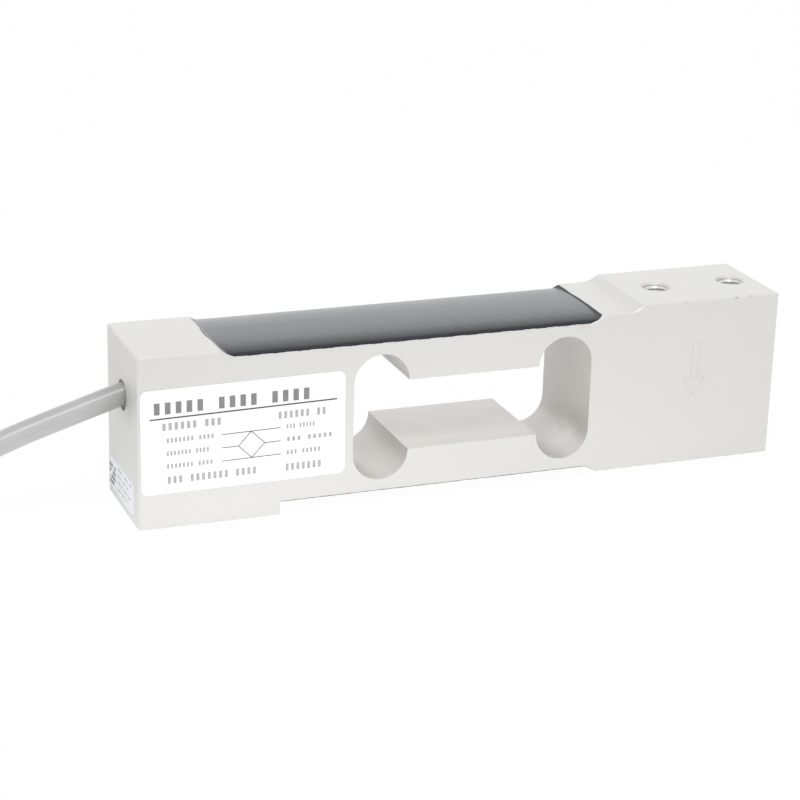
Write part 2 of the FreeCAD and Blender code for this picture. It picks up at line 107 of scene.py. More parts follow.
def addLamp(name, place, size, power):
    # a soft panel, round or rectangular, that faces the middle of the beam
    data = bpy.data.lights.new(name, "AREA")
    data.energy = power
    data.shape = "RECTANGLE" if len(size) > 1 else "DISK"
    data.size = size[0]
    if len(size) > 1:
        data.size_y = size[1]
    item = addObject(name, data)
    item.location = place
    item.rotation_euler = (Vector(room["aim"]) - Vector(place)).to_track_quat("-Z", "Y").to_euler()


def seenDirectly(tree):
    # 1 for a ray from the camera, a mirror-like one or one through glass, else 0
    path = addNode(tree, "LightPath").outputs
    first = addNode(tree, "Math", {0: path["Is Camera Ray"], 1: path["Is Glossy Ray"]}, operation="MAXIMUM")
    second = addNode(tree, "Math", {0: first.outputs[0], 1: path["Is Transmission Ray"]}, operation="MAXIMUM")
    return second.outputs[0]


def addSky():
    # soft light from all around, with plain white where it is seen directly
    world = bpy.data.worlds.new("studio")
    bpy.context.scene.world = world
    world.use_nodes = True
    tree = world.node_tree
    tree.nodes.clear()
    soft = addNode(tree, "Background", {"Color": room["white"], "Strength": room["skyStrength"]})
    plain = addNode(tree, "Background", {"Color": room["white"], "Strength": 1.0})
    mix = addNode(tree, "MixShader", {0: seenDirectly(tree), 1: soft.outputs[0], 2: plain.outputs[0]})
    addNode(tree, "OutputWorld", {"Surface": mix.outputs[0]})


def addFloor():
    # a white table: seen directly it is nearly plain white, with a small share of its own shading; a patch in front
    # of the beam glows as painted light on the beam's lower front
    half = room["floorSize"] / 2
    mesh = bpy.data.meshes.new("floor")
    mesh.from_pydata([(-half, -half, 0), (half, -half, 0), (half, half, 0), (-half, half, 0)], [], [(0, 1, 2, 3)])
    floor = addObject("floor", mesh)
    paint = bpy.data.materials.new("floorPaint")
    paint.use_nodes = True
    tree = paint.node_tree
    tree.nodes.clear()
    # painted light: a glowing patch of the table that lights the beam's lower front
    (across, deep), (x, y) = room["glowSize"], room["glowPlace"]
    place = objectSpace(tree, (1 / across, 1 / deep, 1.0), (-x / across, -y / deep, 0.0))
    patch = addNode(tree, "TexGradient", {0: place}, gradient_type="SPHERICAL")
    power = addNode(tree, "Math", {0: patch.outputs["Fac"], 1: room["glowStrength"]}, operation="MULTIPLY")
    glowing = addNode(tree, "Emission", {"Strength": power.outputs[0]})
    matte = addNode(tree, "BsdfDiffuse", {"Color": room["floorTint"]})
    both = addNode(tree, "AddShader", {0: matte.outputs[0], 1: glowing.outputs[0]})
    plain = addNode(tree, "Emission", {"Strength": 1.0})
    share = addNode(tree, "Math", {0: seenDirectly(tree), 1: 1.0 - room["shadowShare"]}, operation="MULTIPLY")
    mix = addNode(tree, "MixShader", {0: share.outputs[0], 1: both.outputs[0], 2: plain.outputs[0]})
    addNode(tree, "OutputMaterial", {"Surface": mix.outputs[0]})
    mesh.materials.append(paint)


def objectSpace(tree, scale=(1.0, 1.0, 1.0), offset=(0.0, 0.0, 0.0)):
    # the piece's own metres times scale, plus offset
    coords = addNode(tree, "TexCoord")
    mapping = addNode(tree, "Mapping", {"Vector": coords.outputs["Object"], "Scale": scale, "Location": offset})
    return mapping.outputs[0]


addCamera()
addSky()
addFloor()
for name, lamp in room["lamps"].items():
    addLamp(name, *lamp)
bpy.context.scene.view_settings.view_transform = "Standard"
print("camera and room ready")


def startMaterial(name, roughness, metallic=0.0, ior=1.5):
    material = bpy.data.materials.new(name)
    material.use_nodes = True
    tree = material.node_tree
    shader = tree.nodes["Principled BSDF"]
    shader.inputs["Roughness"].default_value = roughness
    shader.inputs["Metallic"].default_value = metallic
    shader.inputs["IOR"].default_value = ior
    return material, tree, shader


def grain(tree, vector, scale, detail=3.0, rough=0.55):
    noise = addNode(tree, "TexNoise", {"Vector": vector, "Scale": scale, "Detail": detail, "Roughness": rough})
    return noise.outputs["Fac"]


def carry(tree, value, start, end, low, high):
    # straight from start ... end to low ... high, and held there beyond them
    sockets = {"Value": value, "From Min": start, "From Max": end, "To Min": low, "To Max": high}
    return addNode(tree, "MapRange", sockets).outputs["Result"]


def spread(tree, noise, low, high):
    # most of a noise lies between 0.3 and 0.7, and that goes to low ... high
    return carry(tree, noise, 0.3, 0.7, low, high)


def blend(tree, share, first, second, way="MIX"):
    # first where share is 0 and second where it is 1, each a colour or another node's output
    first, second = [(*tone, 1.0) if isinstance(tone, tuple) else tone for tone in (first, second)]
    return addNode(tree, "Mix", {0: share, 6: first, 7: second}, data_type="RGBA", blend_type=way).outputs[2]


def sumOf(tree, share, first, second):
    # share * first + second
    return addNode(tree, "Math", {0: first, 1: share, 2: second}, operation="MULTIPLY_ADD").outputs[0]


def dress(tree, shader, tone, roughness, height, strength, depth):
    # joins a tone, a roughness and a relief to the shader
    bump = addNode(tree, "Bump", {"Height": height, "Strength": strength, "Distance": depth})
    for key, value in (("Base Color", tone), ("Roughness", roughness), ("Normal", bump.outputs[0])):
        tree.links.new(value, shader.inputs[key])


def simpleFinish(name, first, second, roughness, wander, patches, fineness, strength, depth,
                 metallic=0.0, ior=1.5, paintedShade=None):
    # two close tones mixed by a noise, a roughness that wanders, and a low relief
    material, tree, shader = startMaterial(name, roughness, metallic, ior)
    vector = objectSpace(tree)
    tone = blend(tree, spread(tree, grain(tree, vector, patches), 0.0, 1.0), first, second)
    if paintedShade:
        # painted shade of the beam on the cable: times a share that falls evenly from 1 at the first X to the share
        # given at the second
        apart = addNode(tree, "SeparateXYZ", {0: vector})
        tone = blend(tree, 1.0, tone, carry(tree, apart.outputs[0], *paintedShade[:2], 1.0, paintedShade[2]), "MULTIPLY")
    fine = grain(tree, vector, fineness, 2.0)
    dress(tree, shader, tone, spread(tree, fine, roughness - wander, roughness + wander), fine, strength, depth)
    return material


leadLook = (0.36, 0.04, 300, 3000, 0.08, 0.00003)
inkLook = (0.45, 0.05, 500, 5000, 0.05, 0.00001)

finishes = {
    # first and second tone, roughness and its wander, scales of the patches and of the fine grain,
    # strength and depth of the relief; where they aren't plain, metallic and refraction; for the
    # jacket, where its painted shade darkens it towards the beam and to what share
    "jacket": ((0.495, 0.495, 0.495), (0.470, 0.470, 0.470), 0.33, 0.03, 60, 2600, 0.12, 0.00005,
               0.0, 1.75, (-0.084, -0.075, 0.72)),
    "tie": ((0.030, 0.030, 0.032), (0.045, 0.045, 0.047), 0.40, 0.06, 300, 3000, 0.2, 0.00004),
    "sleeve": ((0.022, 0.022, 0.024), (0.034, 0.034, 0.036), 0.34, 0.05, 250, 2200, 0.15, 0.00004),
    "sealant": ((0.330, 0.329, 0.325), (0.400, 0.398, 0.392), 0.55, 0.10, 900, 3500, 0.4, 0.00006),
    "tinned": ((0.66, 0.65, 0.62), (0.50, 0.48, 0.45), 0.34, 0.08, 900, 5000, 0.2, 0.00002, 1.0),
    "red": ((0.560, 0.030, 0.028), (0.500, 0.022, 0.022), *leadLook),
    "black": ((0.016, 0.016, 0.017), (0.026, 0.026, 0.027), *leadLook),
    "green": ((0.020, 0.270, 0.080), (0.016, 0.225, 0.066), *leadLook),
    "white": ((0.800, 0.795, 0.780), (0.730, 0.725, 0.705), *leadLook),
    "blue": ((0.030, 0.110, 0.440), (0.024, 0.090, 0.370), *leadLook),
    "brown": ((0.200, 0.085, 0.035), (0.165, 0.068, 0.028), *leadLook),
    "film": ((0.560, 0.270, 0.045), (0.470, 0.215, 0.035), 0.28, 0.05, 700, 4000, 0.06, 0.00002),
    "board": ((0.030, 0.190, 0.070), (0.024, 0.155, 0.058), 0.38, 0.05, 500, 2500, 0.08, 0.00002),
    "enamel": ((0.430, 0.120, 0.035), (0.330, 0.085, 0.025), 0.28, 0.05, 900, 5000, 0.05, 0.00002),
    "solder": ((0.640, 0.640, 0.620), (0.500, 0.500, 0.490), 0.24, 0.08, 1500, 5000, 0.2, 0.00003, 1.0),
    "core": ((0.700, 0.690, 0.660), (0.610, 0.600, 0.570), 0.48, 0.05, 300, 2500, 0.1, 0.00003),
    "chip": ((0.020, 0.020, 0.022), (0.036, 0.036, 0.038), 0.42, 0.06, 900, 5000, 0.1, 0.00002),
    "threadMetal": ((0.780, 0.778, 0.765), (0.720, 0.718, 0.705), 0.32, 0.06, 900, 5000, 0.2, 0.00002, 0.55),
    "ink": ((0.060, 0.060, 0.064), (0.085, 0.085, 0.090), *inkLook),
    "softInk": ((0.220, 0.220, 0.228), (0.260, 0.260, 0.268), *inkLook),
    "paleInk": ((0.400, 0.400, 0.410), (0.450, 0.450, 0.460), *inkLook),
    "engraving": ((0.640, 0.638, 0.622), (0.690, 0.688, 0.672), 0.60, 0.06, 900, 5000, 0.2, 0.00002, 0.30),
}
made = {name: simpleFinish(name + "Finish", *look) for name, look in finishes.items()}
print("plain finishes ready:", len(made))


def newPiece(name, points, faces, material, smooth=True):
    # points is rows of x, y, z in millimetres, faces is rows or lists of corner numbers
    mesh = bpy.data.meshes.new(name)
    mesh.from_pydata((points / 1000).tolist(), [], faces.tolist() if isinstance(faces, np.ndarray) else faces)
    mesh.polygons.foreach_set("use_smooth", np.full(len(mesh.polygons), smooth))
    mesh.materials.append(material)
    mesh.update()
    return addObject(name, mesh)


def gridFaces(rows, columns, wrapRows=False, wrapColumns=False, start=0):
    # four corners of each cell of a grid that is stored row by row
    r = np.arange(rows if wrapRows else rows - 1)[:, None]
    c = np.arange(columns if wrapColumns else columns - 1)
    up, on = (r + 1) % rows, (c + 1) % columns
    cells = np.stack([r * columns + c, r * columns + on, up * columns + on, up * columns + c], axis=-1)
    return cells.reshape(-1, 4) + start


def joinParts(parts):
    # stacks several (points, faces) into one, moving the face numbers on
    points, faces, count = [], [], 0
    for somePoints, someFaces in parts:
        points.append(somePoints)
        faces += [[corner + count for corner in face] for face in someFaces]
        count += len(somePoints)
    return np.concatenate(points), faces


def grid(x, y, z):
    # three numbers or arrays, each stretched over the others' rows and columns, as one of points
    return np.stack(np.broadcast_arrays(x, y, z), axis=-1)


def fullTurn(steps):
    # angles of a whole turn without its last one, which is its first again
    return np.linspace(0, 2 * np.pi, steps, endpoint=False)


def tubeFaces(count, around):
    # quads from ring to ring, and a fan over the first and the last, round the two points after them
    near, last = np.arange(around), (count - 1) * around
    after, ends = (near + 1) % around, count * around
    quads = gridFaces(count, around, wrapColumns=True).tolist()
    return quads + grid(near, ends, after).tolist() + grid(near + last, after + last, ends + 1).tolist()


def bluntEnd(rest, rate, foot):
    # full size, then near the end the root of a straight fall to foot
    return np.sqrt(np.minimum(1, rest * rate + foot))


def sweepRing(line, radii, twist):
    # a ring of points is carried along a line and turned by twist: each ring stands square to the
    # line's direction, its first axis level and its second axis up, both scaled by radii, which has
    # a row for each point of the line
    count, around = radii.shape
    ahead = np.gradient(line, axis=0)
    ahead /= np.linalg.norm(ahead, axis=1)[:, None]
    side = np.cross(ahead, np.array([0.0, 0.0, 1.0]))
    side /= np.maximum(np.linalg.norm(side, axis=1), 1e-9)[:, None]
    up = np.cross(side, ahead)
    turn = fullTurn(around)
    first, second = np.cos(turn) * radii, np.sin(turn) * radii
    cosine, sine = np.cos(twist)[:, None], np.sin(twist)[:, None]
    level = first * cosine - second * sine
    rise = first * sine + second * cosine
    points = line[:, None, :] + level[..., None] * side[:, None, :] + rise[..., None] * up[:, None, :]
    points = np.concatenate([points.reshape(-1, 3), line[:1], line[-1:]])
    return points, tubeFaces(count, around)


cable = {
    "radius": 2.5,
    "lie": 3.05,                # height of the hank's middle above the table
    "outerFold": 20.1,
    "nearFold": 17.55,
    "innerFold": 15.0,
    "foldSteps": 6,             # control points on each half turn
    "foldSwell": 0.97,          # the spline runs this much inside its points on a fold
    "nearX": -152.0,
    "farX": -210.0,
    "length": 0.47,
    "smooth": (8, 12),          # steps round its section and between its points
    "start": [
        (-62.0, 0.0, 26.7), (-68.5, 0.0, 27.15), (-73.6, 0.0, 27.1), (-79.0, 0.0, 25.5), (-86.0, -0.1, 23.35),
        (-99.0, -0.5, 19.5), (-111.0, -3.4, 15.8), (-122.0, -9.6, 9.8), (-132.0, -16.4, 4.7),
        (-142.5, -20.1, 3.05), (-152.0, -20.1, 3.05),
    ],
    "end": [(-210.0, 15.0, 3.05), (-199.0, 15.0, 3.05), (-187.0, 10.6, 3.05), (-177.0, 10.6, 3.05)],
}


def foldPoints(x, y, radius, first):
    # half a circle a little larger than the fold, its points half a step in from its two ends
    steps = cable["foldSteps"]
    angles = np.radians(first - 180 * (np.arange(steps) + 0.5) / steps)
    swollen = radius / cable["foldSwell"]
    return grid(x + swollen * np.cos(angles), y + swollen * np.sin(angles), cable["lie"])


def cableRoute():
    # out of the beam and down to the table, then two long turns side by side
    outer, inner = cable["outerFold"], cable["innerFold"]
    near, far, lie = cable["nearX"], cable["farX"], cable["lie"]
    return np.concatenate([
        cable["start"],
        [(far, -outer, lie)],
        foldPoints(far, 0.0, outer, -90),
        [(far, outer, lie), (near, outer, lie)],
        foldPoints(near, (outer - inner) / 2, cable["nearFold"], 90),
        [(near, -inner, lie), (far, -inner, lie)],
        foldPoints(far, 0.0, inner, -90),
        cable["end"],
    ])


def splineCurve(name, points, radius, material, around, along):
    # one open spline of second degree whose control points are the route's own, in millimetres
    data = bpy.data.curves.new(name, "CURVE")
    data.dimensions = "3D"
    spline = data.splines.new("NURBS")
    spline.points.add(len(points) - 1)
    spline.points.foreach_set("co", np.column_stack([np.array(points) / 1000, np.ones(len(points))]).ravel())
    spline.order_u = 3
    spline.use_endpoint_u = True
    spline.resolution_u = data.resolution_u = data.render_resolution_u = along
    data.bevel_depth = radius / 1000
    data.bevel_resolution = around
    data.use_fill_caps = True
    data.materials.append(material)
    return addObject(name, data)


def splineLine(name, points, along):
    # reads the smooth line back from a spline with no thickness
    curve = splineCurve(name, points, 0.0, made["core"], 0, along)
    mesh = bpy.data.meshes.new_from_object(curve)
    line = np.empty(len(mesh.vertices) * 3)
    mesh.vertices.foreach_get("co", line)
    bpy.data.objects.remove(curve)
    bpy.data.meshes.remove(mesh)
    return line.reshape(-1, 3) * 1000


route = cableRoute()
cord = splineCurve("greyCable", route, cable["radius"], made["jacket"], *cable["smooth"])
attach(cord, "root")
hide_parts("cable_tube", "cable_hank", "cable_tail")
print("cable laid with", len(route), "points")

tie = {
    "wall": 0.5,
    "width": 4.0,
    "rib": 0.5,                 # half the width of the wire inside, where the ribbon is thickest
    "edge": 0.45,               # share of the wall that is left beside the wire
    "clearance": 0.05,
    "corner": 2.2,
    "around": 24,
    "places": (("hank_tie_front", -181.0, -1), ("hank_tie_rear", -207.0, 1)),
    "tailLength": 9.0,
    "tailRadius": 0.8,
    "tailTurns": 2.6,
    "tailSink": 0.15,           # how far the twisted ends press into the ribbon, and how they wave
    "tailWaves": 5.0,
    "tailWaist": 0.38,          # half the difference between the section's long and short way
    "tailBlunt": (12, 0.15),
    "tailSteps": 60,
    "tailAround": 20,
}


def tieBand(x, middle):
    # a flat ribbon carried round two strands: the path is a rectangle with quarter circles at its
    # corners, and the ribbon's section is a thin oval with a wire rib along its middle
    rise = cable["radius"] + tie["clearance"] + tie["wall"] / 2
    reach = (cable["outerFold"] - cable["innerFold"]) / 2 + rise
    angles = np.radians(np.arange(0, 360, 6))
    outY, outZ = np.cos(angles), np.sin(angles)
    pathY = np.where(outY >= 0, 1, -1) * (reach - tie["corner"]) + tie["corner"] * outY
    pathZ = np.where(outZ >= 0, 1, -1) * (rise - tie["corner"]) + tie["corner"] * outZ
    turn = fullTurn(tie["around"])
    across = np.cos(turn) * tie["width"] / 2
    thick = np.sin(turn) * tie["wall"] / 2 * (tie["edge"] + (1 - tie["edge"]) * np.exp(-(across / tie["rib"]) ** 2))
    points = grid(x + across, middle + pathY[:, None] + outY[:, None] * thick,
                  cable["lie"] + pathZ[:, None] + outZ[:, None] * thick)
    return points.reshape(-1, 3), gridFaces(len(angles), tie["around"], True, True).tolist()


def tieTail(x, middle):
    # two ribbon ends twisted round each other: a figure-eight section turns as it goes along X,
    # and its last few steps narrow to a blunt tip
    steps, around, sink = tie["tailSteps"], tie["tailAround"], tie["tailSink"]
    level = cable["lie"] + cable["radius"] + tie["clearance"] + tie["wall"] + tie["tailRadius"] - sink
    share = np.linspace(0, 1, steps)
    line = grid(x - tie["width"] / 2 + share * tie["tailLength"], middle,
                level + sink * np.sin(share * tie["tailWaves"]) * share)
    turn = fullTurn(around)
    twist = share * tie["tailTurns"] * 2 * np.pi
    section = tie["tailRadius"] * (1 - tie["tailWaist"] + tie["tailWaist"] * np.cos(2 * turn))
    wide = section * bluntEnd(1 - share, *tie["tailBlunt"])[:, None]
    angle = turn + twist[:, None]
    points = grid(line[:, :1], line[:, 1:2] + wide * np.cos(angle), line[:, 2:3] + wide * np.sin(angle))
    points = np.concatenate([points.reshape(-1, 3), line[:1], line[-1:]])
    return points, tubeFaces(steps, around)


for node, x, side in tie["places"]:
    middle = side * (cable["outerFold"] + cable["innerFold"]) / 2
    parts = joinParts([tieBand(x, middle), tieTail(x, middle)])
    band = newPiece("twistTie" + ("Front" if side < 0 else "Rear"), *parts, made["tie"])
    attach(band, "root")
    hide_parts(node)
print("ties wound")

sleeve = {
    "start": -182.0,
    "length": 12.0,
    "y": 10.6,
    "inner": 2.5,
    "wall": 0.4,
    "neck": 1.95,               # radius that it shrinks to over the leads
    "fallAt": 0.55,             # share of the length where the fall's middle is
    "fallRate": 22,
    "mouth": (0.03, 0.96),      # the first share of the length is drawn in to this share
    "jacketEnd": 0.45,          # share of the length that has the jacket inside
    "least": 0.3,               # radius of the passage past the jacket
    "rows": 28,
    "around": 32,
}


def addSleeve():
    # a profile turned round the cable's axis: full over the jacket, then a smooth fall to the
    # leads' bundle, back along the inside of the open mouth
    share = np.linspace(0, 1, sleeve["rows"])
    full = sleeve["inner"] + sleeve["wall"]
    fall = 1 / (1 + np.exp(-(share - sleeve["fallAt"]) * sleeve["fallRate"]))
    outer = full - (full - sleeve["neck"]) * fall
    outer = outer * np.where(share < sleeve["mouth"][0], sleeve["mouth"][1], 1.0)
    inside = np.maximum(outer[::-1] - sleeve["wall"], sleeve["least"])
    inside = np.where(share[::-1] < sleeve["jacketEnd"], sleeve["inner"], inside)
    x = np.concatenate([share, share[::-1]]) * sleeve["length"] + sleeve["start"]
    radius = np.concatenate([outer, inside])
    turn = fullTurn(sleeve["around"])
    points = grid(x[:, None], sleeve["y"] + radius[:, None] * np.cos(turn),
                  cable["lie"] + radius[:, None] * np.sin(turn))
    faces = gridFaces(2 * sleeve["rows"], sleeve["around"], True, True)
    piece = newPiece("shrinkSleeve", points.reshape(-1, 3), faces, made["sleeve"])
    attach(piece, "root")
    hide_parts("end_sleeve")


addSleeve()

leads = {
    "radius": 0.5,
    "circle": 1.27,             # radius of the ring that the leads leave the sleeve in
    "smooth": (4, 8),
    "tipLength": 5.0,
    "tipOverlap": 0.2,          # how far the bare strands reach back into the lead
    "tipSteps": 24,
    "tip": {
        "radius": 0.35,
        "strands": 7,
        "pitch": 6.0,
        "dip": 0.14,            # share of the radius that the ring dips by between its strands
        "blunt": (14, 0.2),
    },
    "end": (-177.0, 10.6),
    # share of the reach, of the way sideways and of the height above the table
    "shares": ((0.3, 0.0, 1.0), (0.62, 0.66, 0.35), (0.82, 0.88, 0.0), (1.0, 1.0, 0.0)),
    "layout": {
        # place on the ring in degrees, how far aside it ends, and its reach
        "lead_red": (0, 4.6, 20.5), "lead_black": (60, 3.6, 25.0), "lead_green": (300, 1.5, 24.2),
        "lead_white": (120, -1.6, 25.0), "lead_blue": (240, -3.4, 23.6), "lead_brown": (180, -5.4, 24.6),
    },
}


def leadRoute(angle, aside, reach):
    # out of the sleeve, then down to the table while fanning sideways
    x, y = leads["end"]
    across = leads["circle"] * math.cos(math.radians(angle))
    height = cable["lie"] + leads["circle"] * math.sin(math.radians(angle))
    low = leads["radius"]
    rows = [(x, y + across, height)]
    for ahead, share, lift in leads["shares"]:
        rows.append((x + ahead * reach, y + across + share * (aside - across), low + lift * (height - low)))
    return np.array(rows)


def strandBundle(line, far, rest, look):
    # a ring that dips between its strands, with four points for each strand, goes round once each
    # pitch and ends bluntly
    strands, dip = look["strands"], look["dip"]
    ring = look["radius"] * (1 - dip + dip * np.abs(np.cos(fullTurn(strands * 4) * strands / 2)))
    return sweepRing(line, ring * bluntEnd(rest, *look["blunt"])[:, None], far / look["pitch"] * 2 * np.pi)


def leadTip(start, ahead):
    # a short bare bundle, straight on from the end of a lead
    share = np.linspace(0, 1, leads["tipSteps"])
    far = share * (leads["tipLength"] + leads["tipOverlap"])
    line = start - ahead * leads["tipOverlap"] + ahead * far[:, None]
    return strandBundle(line, far, 1 - share, leads["tip"])


def addLeads():
    tips = []
    for name, layout in leads["layout"].items():
        rows = leadRoute(*layout)
        colour = name.split("_")[1]
        curve = splineCurve("lead" + colour.capitalize(), rows, leads["radius"], made[colour], *leads["smooth"])
        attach(curve, "root")
        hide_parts(name)
        tips.append(leadTip(rows[-1], (rows[-1] - rows[-2]) / np.linalg.norm(rows[-1] - rows[-2])))
    piece = newPiece("tinnedEnds", *joinParts(tips), made["tinned"])
    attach(piece, "root")
    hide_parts("tinned_tips")


addLeads()

shield = {
    "radius": 0.45,
    "reach": 27.0,
    "strands": 9,
    "pitch": 5.0,
    "dip": 0.16,
    "blunt": (1.2, 0.2),
    "smooth": 24,
    "shares": ((0.0, 0.0, 1.0), (0.26, 0.0, 1.0), (0.63, -0.3, 0.0), (1.0, 0.4, 0.0)),
}


def addShield():
    # twisted strands along a spline, turned by the length so far
    x, y = leads["end"]
    rows = [(x + share * shield["reach"], y + aside, shield["radius"] + lift * (cable["lie"] - shield["radius"]))
            for share, aside, lift in shield["shares"]]
    line = splineLine("shieldLine", rows, shield["smooth"])
    steps = np.linalg.norm(np.diff(line, axis=0), axis=1)
    far = np.concatenate([[0.0], np.cumsum(steps)])
    piece = newPiece("shieldStrands", *strandBundle(line, far, far[-1] - far, shield), made["tinned"])
    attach(piece, "root")
    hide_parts("shield_wire")


addShield()

beam = {
    "half": (75.0, 12.5),       # half the beam's length and width
    "tone": (0.728, 0.723, 0.702),
    "second": (0.712, 0.707, 0.687),
    "roughness": (0.50, 0.06),  # middle and wander
    "metallic": 0.25,
    "speck": (0.965, 1.03),     # how the fine grain lightens and darkens the tone
    "patches": 22.0,            # noise scales, per metre
    "fine": 5200.0,
    "spotWobble": 900.0,
    "lines": 1800.0,
    "mergeDistance": 1e-6,
    "smoothBelow": 20.0,
    "windowLow": (-27.3, -12.15, 5.6),
    "windowHigh": (28.8, 12.15, 34.5),
    "boredTone": (0.665, 0.648, 0.622),
    "boredSecond": (0.635, 0.617, 0.590),
    "boredRoughness": (0.42, 0.36, 0.50),   # middle, and least and most in the cutter's rings
    "boredPatches": 160.0,
    "boredRings": 2600.0,
    "boredChatter": 700.0,
    "boredMetallic": 0.35,
    "upwardLightTone": (0.740, 0.722, 0.695),
    "upwardLightFrom": (0.3, 0.9),   # upward share of a wall's direction where that painted light starts and is full
    # partly painted light: a paler tone on the lower right lobe, over the cutter's marks
    "swirlAndLightTone": (0.790, 0.780, 0.760),
    "swirlScale": (100.0, 100.0, 100.0),    # one over the swirl's reach in metres
    "swirlShift": (-2.55, 0.40, -0.68),     # minus its middle times that
    "swirlStir": 0.25,
    "swirlAndLightShare": 0.60,
    "spotsAndPaintedLight": (
        # centre and half sizes in millimetres, how strong the spot is, and its tone
        ((26.5, -12.5, 36.2), (2.8, 0.4, 0.40), 0.60, (0.60, 0.59, 0.55)),
        ((51.6, -12.4, 39.9), (0.70, 0.4, 0.35), 0.60, (0.46, 0.45, 0.43)),
        ((64.2, -12.4, 39.9), (0.75, 0.4, 0.40), 0.90, (0.36, 0.35, 0.33)),
        ((67.9, -12.4, 39.9), (1.10, 0.4, 0.35), 0.70, (0.42, 0.41, 0.39)),
        ((74.9, -12.4, 39.8), (0.50, 0.5, 0.60), 0.80, (0.40, 0.39, 0.37)),
        # painted highlights: two pale glints on the front face near the top edge
        ((38.0, -12.4, 38.8), (0.50, 0.4, 0.40), 0.80, (0.93, 0.93, 0.92)),
        ((39.3, -12.4, 38.8), (0.40, 0.4, 0.40), 0.80, (0.93, 0.93, 0.92)),
        # painted shadow of the cable on the end face, beside its exit
        ((-75.0, -4.2, 26.2), (0.60, 7.0, 6.50), 0.35, (0.44, 0.44, 0.43)),
    ),
}


def addBeam(outside, inside):
    # the CAD mesh with its loose corners merged, smooth across all but its sharp edges; a face
    # whose middle is in the window's space between the front and rear takes the bored finish
    work = bmesh.new()
    work.from_mesh(nodes["beam_body"].data)
    bmesh.ops.remove_doubles(work, verts=work.verts, dist=beam["mergeDistance"])
    mesh = bpy.data.meshes.new("beamBody")
    work.to_mesh(mesh)
    work.free()
    if "custom_normal" in mesh.attributes:
        mesh.attributes.remove(mesh.attributes["custom_normal"])
    count = len(mesh.polygons)
    middles = np.empty(count * 3)
    mesh.polygons.foreach_get("center", middles)
    middles = middles.reshape(-1, 3) * 1000
    bored = np.all((middles > beam["windowLow"]) & (middles < beam["windowHigh"]), axis=1)
    mesh.materials.clear()
    mesh.materials.append(outside)
    mesh.materials.append(inside)
    mesh.polygons.foreach_set("material_index", bored.astype(np.int32))
    mesh.polygons.foreach_set("use_smooth", np.full(count, True))
    mesh.set_sharp_from_angle(angle=math.radians(beam["smoothBelow"]))
    mesh.update()
    piece = addObject("beamBody", mesh)
    piece.modifiers.new("flatFaces", "WEIGHTED_NORMAL").keep_sharp = True
    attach(piece, "root")
    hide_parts("beam_body")


def beamFinish():
    # matte blasted metal: broad soft patches, a fine grain and faint cutter lines along the beam,
    # and a few small spots, rubbed ones and painted light, each fading from its centre to its half sizes
    middle, wander = beam["roughness"]
    material, tree, shader = startMaterial("beamFinish", middle, beam["metallic"])
    plain = objectSpace(tree)
    broad = grain(tree, plain, beam["patches"], 4.0)
    fine = grain(tree, plain, beam["fine"], 2.0)
    colour = blend(tree, spread(tree, broad, 0.0, 1.0), beam["tone"], beam["second"])
    colour = blend(tree, 1.0, colour, spread(tree, fine, *beam["speck"]), "MULTIPLY")
    wobble = grain(tree, plain, beam["spotWobble"])
    for centre, half, amount, spot in beam["spotsAndPaintedLight"]:
        scale = tuple(1000.0 / h for h in half)
        offset = tuple(-c / h for c, h in zip(centre, half))
        ball = addNode(tree, "TexGradient", {0: objectSpace(tree, scale, offset)}, gradient_type="SPHERICAL")
        patchy = spread(tree, wobble, 0.2, amount * 2)
        share = addNode(tree, "Math", {0: ball.outputs["Fac"], 1: patchy}, operation="MULTIPLY")
        colour = blend(tree, share.outputs[0], colour, spot)
    lines = grain(tree, objectSpace(tree, (0.06, 1.0, 1.0)), beam["lines"])
    uneven = spread(tree, lines, middle - wander, middle + wander)
    dress(tree, shader, colour, uneven, sumOf(tree, 0.5, lines, fine), 0.22, 0.00003)
    return material


def boredFinish():
    # bored and milled walls of the window: a little darker and warmer than the blasted faces, with
    # fine cutter rings that follow the depth of the cut, along Y
    material, tree, shader = startMaterial("boredFinish", beam["boredRoughness"][0], beam["boredMetallic"])
    plain = objectSpace(tree)
    patches = spread(tree, grain(tree, plain, beam["boredPatches"], 4.0), 0.0, 1.0)
    tone = blend(tree, patches, beam["boredTone"], beam["boredSecond"])
    # painted light from above: what faces up is paler
    facing = addNode(tree, "SeparateXYZ", {0: addNode(tree, "TexCoord").outputs["Normal"]})
    tone = blend(tree, carry(tree, facing.outputs[2], *beam["upwardLightFrom"], 0.0, 1.0), tone, beam["upwardLightTone"])
    # a pale patch on the lower right lobe, partly the cutter's swirling marks and partly painted light, fading out
    # over a few millimetres
    sockets = {"Vector": plain, "Location": beam["swirlShift"], "Scale": beam["swirlScale"]}
    place = addNode(tree, "Mapping", sockets).outputs[0]
    stirring = spread(tree, grain(tree, plain, 420.0), -beam["swirlStir"], beam["swirlStir"])
    stir = addNode(tree, "VectorMath", {0: place, 1: stirring}, operation="ADD")
    swirl = addNode(tree, "TexGradient", {0: stir.outputs[0]}, gradient_type="SPHERICAL")
    tone = blend(tree, spread(tree, swirl.outputs["Fac"], 0.0, beam["swirlAndLightShare"]), tone, beam["swirlAndLightTone"])
    rings = grain(tree, objectSpace(tree, (0.04, 1.0, 0.04)), beam["boredRings"])
    chatter = grain(tree, objectSpace(tree, (1.0, 0.25, 1.0)), beam["boredChatter"], 2.0)
    uneven = spread(tree, rings, *beam["boredRoughness"][1:])
    dress(tree, shader, tone, uneven, sumOf(tree, 0.6, chatter, rings), 0.30, 0.00003)
    return material


addBeam(beamFinish(), boredFinish())
print("beam finished")

